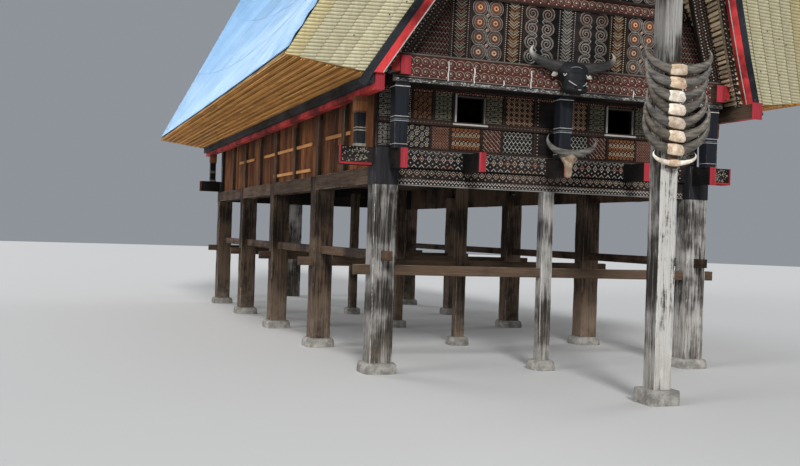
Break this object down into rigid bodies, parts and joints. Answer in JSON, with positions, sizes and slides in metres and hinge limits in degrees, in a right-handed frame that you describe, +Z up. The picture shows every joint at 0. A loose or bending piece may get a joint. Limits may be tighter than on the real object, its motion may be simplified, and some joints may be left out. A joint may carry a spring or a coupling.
{
  "type": "traditional saddle-roofed house",
  "caption": "Raised tongkonan house with a curved saddle roof, carved facades, painted posts and a buffalo horn stack on its ridge post.",
  "frame": {"origin": "on the ground below the middle of the house, the bottom centre of its bounding box", "axes": "+X to the right of the front facade, +Y from the front facade to the rear, +Z up"},
  "size_m": [6.88, 19.0342, 9.82],
  "materials": {
    "carved_wood": "matt, carved and painted",
    "old_wood": "weathered, bare",
    "dark_wood": "aged, bare",
    "plank": "aged, bare",
    "black_paint": "matt paint",
    "red_paint": "matt paint",
    "bamboo": "dry split bamboo",
    "zinc": "corrugated, weathered",
    "concrete": "rough",
    "horn": "aged horn"
  },
  "bodies": {
    "root": {"pillar_row_front": "old_wood", "pillar_row_rear": "old_wood", "ridge_post_front": "old_wood", "ridge_post_rear": "old_wood", "pillar_row_inner_1": "dark_wood", "pillar_row_inner_2": "dark_wood", "pillar_row_inner_3": "dark_wood", "long_rail_left": "dark_wood", "long_rail_right": "dark_wood", "tie_beam_1": "dark_wood", "tie_beam_2": "dark_wood", "tie_beam_3": "dark_wood", "ridge_beam": "dark_wood", "floor_boards": "plank", "side_wall_left": "plank", "side_wall_right": "plank", "carved_sill_front": "carved_wood", "carved_sill_rear": "carved_wood", "facade_wall_front": "carved_wood", "facade_wall_rear": "carved_wood", "carved_lintel_front": "carved_wood", "rear_post_screen": "carved_wood", "gable_front": "carved_wood", "gable_rear": "carved_wood", "wall_plate_left": "red_paint", "wall_plate_right": "red_paint", "eave_beam_left": "red_paint", "eave_beam_right": "red_paint", "barge_red_front": "red_paint", "barge_boards_rear": "red_paint", "eave_board_left": "black_paint", "eave_board_right": "black_paint", "eave_post_front_left": "black_paint", "eave_post_front_right": "black_paint", "eave_post_rear_left": "black_paint", "eave_post_rear_right": "black_paint", "facade_post_left": "black_paint", "facade_post_centre": "black_paint", "facade_post_right": "black_paint", "barge_black_front": "black_paint", "buffalo_head": "black_paint", "roof_left": "bamboo", "roof_right": "bamboo", "zinc_left": "zinc", "zinc_right": "zinc", "ridge_cap": "zinc", "post_plinth_front": "concrete", "horn_stack": "horn", "skull_and_horns": "horn"}
  },
  "joints": []
}
